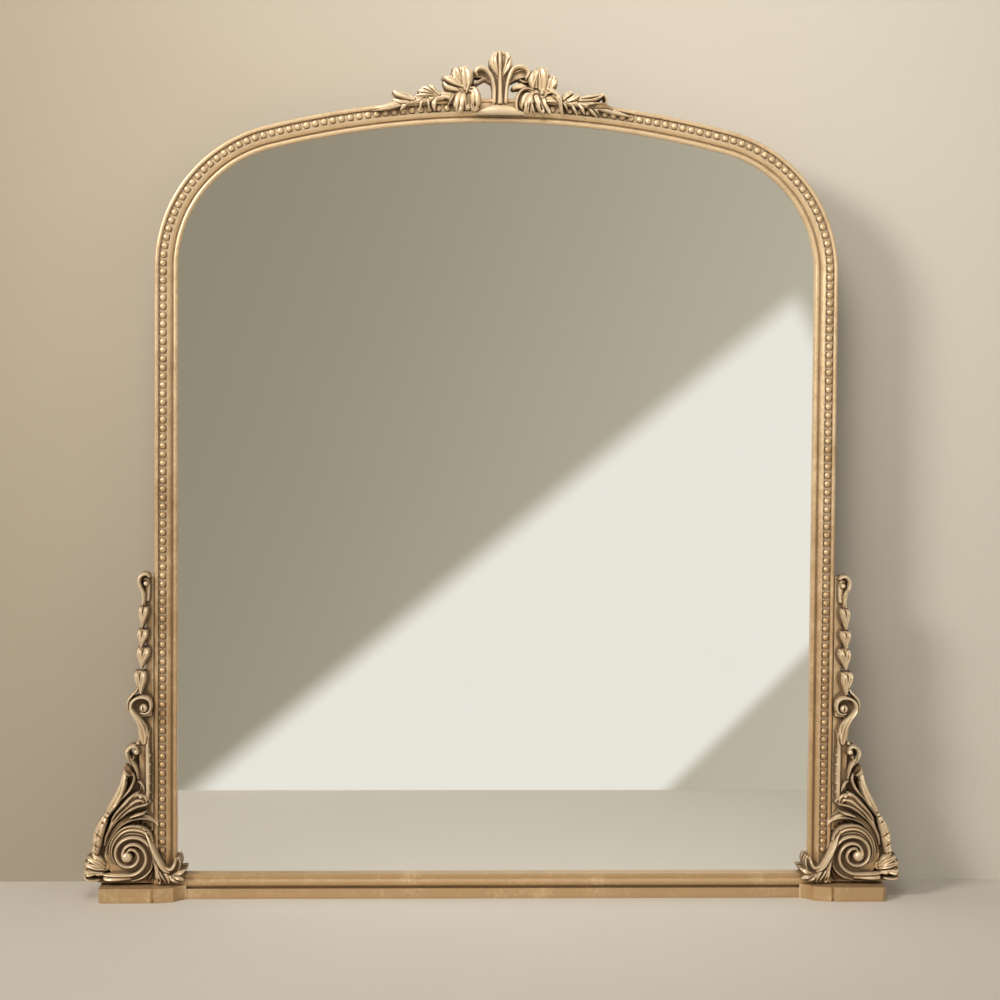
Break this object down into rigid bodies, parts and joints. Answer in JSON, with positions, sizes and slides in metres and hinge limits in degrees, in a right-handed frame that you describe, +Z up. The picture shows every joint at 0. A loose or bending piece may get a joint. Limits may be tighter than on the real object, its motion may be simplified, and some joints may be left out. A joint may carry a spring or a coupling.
{
  "type": "overmantel mirror",
  "caption": "Arched overmantel mirror in a beaded gilt frame with scroll brackets, husk drops and a flower crest, standing on plinth blocks or hung by rings on its back",
  "frame": {"origin": "middle of the base, at the bottom of the bounding box", "axes": "X across the mirror to the viewer's right, -Y towards the viewer, Z up"},
  "size_m": [0.9194, 0.0624, 0.9476],
  "materials": {
    "gilt_wood": "antique gold over wood",
    "gilt_casting": "antique gold over cast resin",
    "silvered_glass": "silvered float glass",
    "backboard": "hardboard",
    "plain_wood": "bare softwood",
    "steel": "zinc plated",
    "felt": "felt"
  },
  "bodies": {
    "frame": {"crown": "gilt_wood", "bottom_rail": "gilt_wood", "crown_fillet": "gilt_casting", "crest_palmette": "gilt_casting", "mirror_plate": "silvered_glass", "back_panel": "backboard", "setting_pads": "felt", "bottom_batten": "plain_wood", "crown_batten": "plain_wood", "frame_dowels": "plain_wood", "wing_dowels": "plain_wood", "crest_dowels": "plain_wood", "bracket_screws": "steel", "plinth_screws": "steel", "hanger_screws": "steel", "wall_bumpers": "felt", "left_stile": "gilt_wood", "right_stile": "gilt_wood", "left_shoulder": "gilt_wood", "right_shoulder": "gilt_wood", "left_bead_strip": "gilt_casting", "right_bead_strip": "gilt_casting", "left_shoulder_beads": "gilt_casting", "right_shoulder_beads": "gilt_casting", "left_crown_beads": "gilt_casting", "right_crown_beads": "gilt_casting", "left_plinth": "gilt_wood", "right_plinth": "gilt_wood", "left_wing_board": "gilt_wood", "right_wing_board": "gilt_wood", "left_scroll_bracket": "gilt_casting", "right_scroll_bracket": "gilt_casting", "left_husk_drop": "gilt_casting", "right_husk_drop": "gilt_casting", "left_corner_leaf": "gilt_casting", "right_corner_leaf": "gilt_casting", "left_crest_spray": "gilt_casting", "right_crest_spray": "gilt_casting", "left_batten": "plain_wood", "right_batten": "plain_wood", "left_shoulder_batten": "plain_wood", "right_shoulder_batten": "plain_wood", "left_hanger_strap": "steel", "right_hanger_strap": "steel"},
    "left_ring": {"left_hanger_ring": "steel"},
    "right_ring": {"right_hanger_ring": "steel"}
  },
  "joints": [
    {"name": "left_ring_swing", "type": "hinge", "parent": "frame", "child": "left_ring", "pos_m": [-0.372, 0.02735, 0.64], "axis": [1, 0, 0], "range_deg": [0, 174]},
    {"name": "right_ring_swing", "type": "hinge", "parent": "frame", "child": "right_ring", "pos_m": [0.372, 0.02735, 0.64], "axis": [1, 0, 0], "range_deg": [0, 174]}
  ]
}
